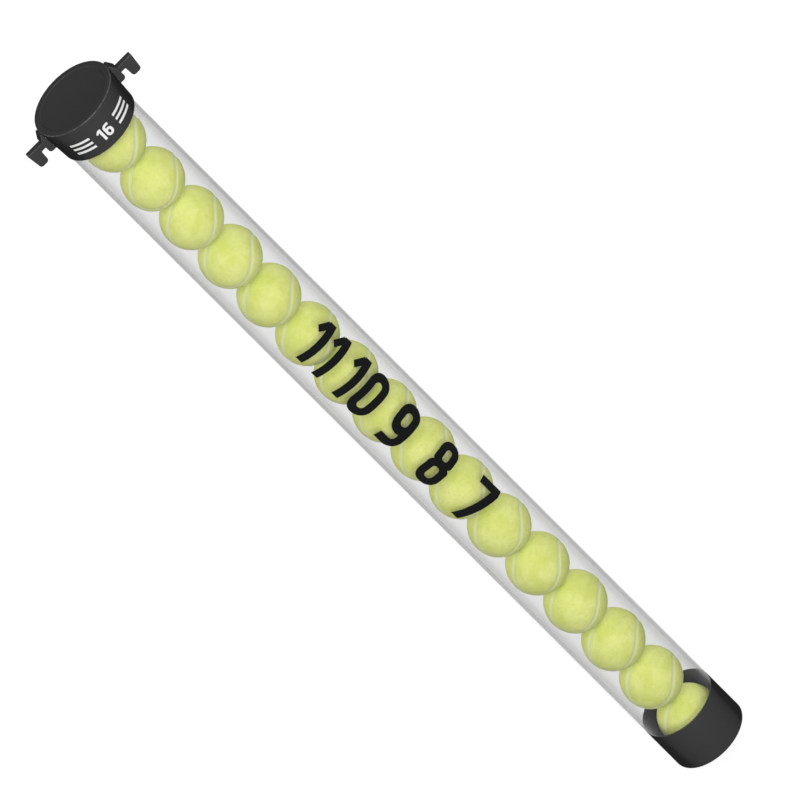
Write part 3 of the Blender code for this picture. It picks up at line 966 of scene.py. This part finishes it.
def hook_mesh():
    """The right-hand hook: arm and lug joined, less the cap's taper and the rivets' blind holes."""
    low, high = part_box("hook_right")
    lug_face = cap_top_radius + LUG_REACH
    inner = lug_face + HOOK_GAP
    arm_top = cap_high.z - ARM_DROP
    foot = arm_top - TIP_HEIGHT
    root = cap_top_radius + LUG_REACH / 2
    arm = rounded([
        (root, arm_top, HOOK_CORNER_ROUND),
        (root, arm_top - ARM_HEIGHT, HOOK_CORNER_ROUND),
        (inner, arm_top - ARM_HEIGHT, HOOK_CORNER_ROUND),
        (inner + TIP_INNER_LEAN, foot, TIP_FOOT_ROUND),
        (high.x - TIP_OUTER_LEAN, foot, TIP_FOOT_ROUND),
        (high.x, arm_top, HOOK_CORNER_ROUND),
    ], HOOK_CORNER_STEPS)
    top = cap_high.z - LUG_DROP
    lug = rounded([
        (cap_foot_radius, top, HOOK_CORNER_ROUND),
        (cap_foot_radius, top - LUG_HEIGHT, HOOK_CORNER_ROUND),
        (lug_face, top - LUG_HEIGHT, LUG_FOOT_ROUND),
        (lug_face, top - LUG_SHOULDER_DOWN, HOOK_CORNER_ROUND),
        (lug_face - LUG_SHOULDER_ACROSS, top, HOOK_CORNER_ROUND),
    ], HOOK_CORNER_STEPS)
    beyond = LUG_HEIGHT
    cone = np.array([
        (0.0, cap_low.z - beyond),
        (cap_side(cap_low.z - beyond) + FIT_GAP, cap_low.z - beyond),
        (cap_side(cap_high.z + beyond) + FIT_GAP, cap_high.z + beyond),
        (0.0, cap_high.z + beyond),
    ])
    steps = [
        ("UNION", plate("lug", lug, high.y, HOOK_EDGE_ROUND)),
        ("DIFFERENCE", turned("cone", cone, CAP_STEPS)),
    ]
    near = [box for box in rivet_boxes if box[0].x > 0.0]
    steps += [("DIFFERENCE", rivet_hole(*box)) for box in near]
    return carved(plate("arm", arm, HOOK_PLATE_WIDTH / 2, HOOK_EDGE_ROUND), steps)


right_hook = hook_mesh()
right_hook.name = "moulded_hook_right"
left_hook = right_hook.copy()
left_hook.name = "moulded_hook_left"
left_hook.transform(Matrix.Rotation(math.pi, 4, "Z"))
moulding(right_hook, black, "cap", "hook_right")
moulding(left_hook, black, "cap", "hook_left")


# The rivets: steel, four, set from inside the cap. Each has a low domed head against the wall and
# a shank that ends inside its lug.
RIVET_HEAD_THICKNESS = 0.0010
RIVET_DOME = 0.0005
RIVET_FLAT_SHARE = 0.6
RIVET_STEPS = 48
STEEL_DARK = (0.50, 0.50, 0.51)
STEEL_PALE = (0.62, 0.62, 0.63)
STEEL_GRAIN = 3200.0


def rivet_material():
    """Plain steel: fine specks in its tone and in its gloss."""
    material, tree, shader, where = surface("rivet_steel", Metallic=1.0, Roughness=0.34)
    marks = noise(tree, where, STEEL_GRAIN, roughness=0.6)
    tone = blend(tree, ramp(tree, marks, 0.3, 0.7), STEEL_DARK, STEEL_PALE)
    tree.links.new(tone, shader.inputs["Base Color"])
    tree.links.new(ramp(tree, marks, 0.3, 0.7, 0.28, 0.42), shader.inputs["Roughness"])
    return material


steel = rivet_material()
for i, (low, high) in enumerate(rivet_boxes, start=1):
    head = (high.z - low.z) / 2
    length = high.x - low.x
    outline = rounded([
        (0.0, 0.0, 0.0),
        (RIVET_FLAT_SHARE * head, 0.0, RIVET_DOME),
        (head, RIVET_DOME, RIVET_DOME / 2),
        (head, RIVET_HEAD_THICKNESS, SMALL_ROUND),
        (RIVET_SHANK_RADIUS, RIVET_HEAD_THICKNESS, SMALL_ROUND),
        (RIVET_SHANK_RADIUS, length, SMALL_ROUND),
        (0.0, length, 0.0),
    ])
    mesh = turned(f"set_rivet_{i}", outline, RIVET_STEPS)
    towards = 1.0 if low.x > 0.0 else -1.0
    start = Vector((low.x if towards > 0.0 else high.x, (low.y + high.y) / 2, (low.z + high.z) / 2))
    mesh.transform(Matrix.Translation(start) @ Matrix.Rotation(towards * math.pi / 2, 4, "Y"))
    piece(f"set_rivet_{i}", mesh, steel, "cap", f"hook_rivet_{i}")


# The floor: a pale sheet that runs out of sight and takes the tube's shadow. It shows white to the
# eye, to gloss and through the clear tube, and glows a little more beyond the lamps' reach. It is
# clear from beneath, to show the mouth.
FLOOR_REACH = 40.0
FLOOR_LEVEL = -0.0002
FLOOR_COLOUR = (0.25, 0.25, 0.25, 1.0)
WHITE = (1.0, 1.0, 1.0, 1.0)
FLOOR_GLOW = 0.80
FLOOR_GLOW_FAR = 0.89
LIT_REACH = 1.5
DARK_REACH = 8.0


def seen(tree):
    """One for rays that come from the eye, a gloss or a clear surface, and nought for the rest."""
    path = put(tree, "ShaderNodeLightPath", {}).outputs
    either = maths(tree, "MAXIMUM", path["Is Camera Ray"], path["Is Glossy Ray"])
    return maths(tree, "MAXIMUM", either, path["Is Transmission Ray"])


floor_material, tree, shader, where = surface(
    "pale_floor", Base_Color=FLOOR_COLOUR, Emission_Color=WHITE, Roughness=1.0,
    Specular_IOR_Level=0.0,
)
glow = ramp(tree, from_origin(tree, where), LIT_REACH, DARK_REACH, FLOOR_GLOW, FLOOR_GLOW_FAR)
tree.links.new(maths(tree, "MULTIPLY", seen(tree), glow), shader.inputs["Emission Strength"])
beneath = put(tree, "ShaderNodeNewGeometry", {}).outputs["Backfacing"]
clear = put(tree, "ShaderNodeBsdfTransparent", {}).outputs["BSDF"]
sides = put(tree, "ShaderNodeMixShader", {0: beneath, 1: shader.outputs["BSDF"], 2: clear})
tree.links.new(sides.outputs["Shader"], tree.nodes["Material Output"].inputs["Surface"])
corners = FLOOR_REACH * np.array([(-1, -1, 0), (1, -1, 0), (1, 1, 0), (-1, 1, 0)], float)
corners[:, 2] = FLOOR_LEVEL
floor_mesh = bpy.data.meshes.new("floor")
floor_mesh.from_pydata(corners.tolist(), [], [(0, 1, 2, 3)])
floor_mesh.materials.append(floor_material)
floor = bpy.data.objects.new("floor", floor_mesh)
bpy.context.scene.collection.objects.link(floor)


# Light: an even room, one broad lamp in front and above that models the balls, one low in front
# that reaches under their sides, and two behind that fill the back.
ROOM_LIGHT = 0.47
LAMP_DISTANCE = 10.0
# Each lamp: name, azimuth and elevation in degrees, width and height in metres, power in watts
LAMPS = [
    ("high_lamp", 0.0, 40.0, 4.5, 4.5, 540.0),
    ("low_lamp", 0.0, 12.0, 4.0, 2.3, 300.0),
    ("right_back_lamp", 145.0, 15.0, 3.4, 2.9, 300.0),
    ("left_back_lamp", 215.0, 15.0, 3.4, 2.9, 300.0),
]

room = bpy.data.worlds.new("room")
bpy.context.scene.world = room
room.use_nodes = True
tree = room.node_tree
strength = put(tree, "ShaderNodeMapRange", {
    "Value": seen(tree), "To Min": ROOM_LIGHT, "To Max": 1.0,
}).outputs["Result"]
tree.links.new(strength, tree.nodes["Background"].inputs["Strength"])
tree.nodes["Background"].inputs["Color"].default_value = WHITE

middle = Vector((0.0, 0.0, (cad_box[0][2] + cad_box[1][2]) / 2))
for name, azimuth, elevation, width, height, power in LAMPS:
    turn, rise = math.radians(azimuth), math.radians(elevation)
    level = math.cos(rise)
    way = Vector((level * math.sin(turn), -level * math.cos(turn), math.sin(rise)))
    lamp_data = bpy.data.lights.new(name, "AREA")
    lamp_data.shape = "RECTANGLE"
    lamp_data.size = width
    lamp_data.size_y = height
    lamp_data.energy = power
    lamp = bpy.data.objects.new(name, lamp_data)
    bpy.context.scene.collection.objects.link(lamp)
    lamp.location = middle + LAMP_DISTANCE * way
    lamp.rotation_euler = way.to_track_quat("Z", "Y").to_euler()


# Camera: far off in front and above, turned so that the tube runs from the upper left to the
# lower right. Lengths in pixels are in a picture of 791 by 791.
PICTURE = 791
PICTURE_LENGTH = 950.0
TUBE_MIDDLE = (391.0, 417.0)
CAMERA_DISTANCE = 36.0
CAMERA_ROLL = math.radians(-45.0)
SENSOR = 36.0

back = Vector((0.0, -math.cos(VIEW_ELEVATION), math.sin(VIEW_ELEVATION)))
up = Vector((0.0, math.sin(VIEW_ELEVATION), math.cos(VIEW_ELEVATION)))
right = Vector((1.0, 0.0, 0.0))
far_rim = Vector((0.0, cap_top_radius, cap_high.z))
near_foot = Vector((0.0, -collar_high.x, 0.0))
reach = far_rim - near_foot
pixel = reach.dot(up) / PICTURE_LENGTH
off_right = TUBE_MIDDLE[0] - PICTURE / 2
off_down = TUBE_MIDDLE[1] - PICTURE / 2
# The top is nearer and looks larger, the foot smaller, which moves both ends up the picture. Half
# of that is taken back, so that the middle moves down as far as the ends stay up.
nearer = reach.dot(back) / 2 / CAMERA_DISTANCE
lift = PICTURE_LENGTH / 2 * nearer / 2
along = (off_right + off_down) * math.sqrt(0.5) + lift
across = (off_right - off_down) * math.sqrt(0.5)
aim = (far_rim + near_foot) / 2 + pixel * (along * up - across * right)

camera_data = bpy.data.cameras.new("camera")
camera_data.sensor_width = SENSOR
camera_data.lens = SENSOR * CAMERA_DISTANCE / (PICTURE * pixel)
camera_data.clip_end = 4 * CAMERA_DISTANCE
camera = bpy.data.objects.new("camera", camera_data)
bpy.context.scene.collection.objects.link(camera)
facing = (-back).to_track_quat("-Z", "Y").to_matrix().to_4x4()
camera.matrix_world = (
    Matrix.Translation(aim + back * CAMERA_DISTANCE) @ facing @ Matrix.Rotation(CAMERA_ROLL, 4, "Z")
)
bpy.context.scene.camera = camera
bpy.context.scene.view_settings.view_transform = "Standard"
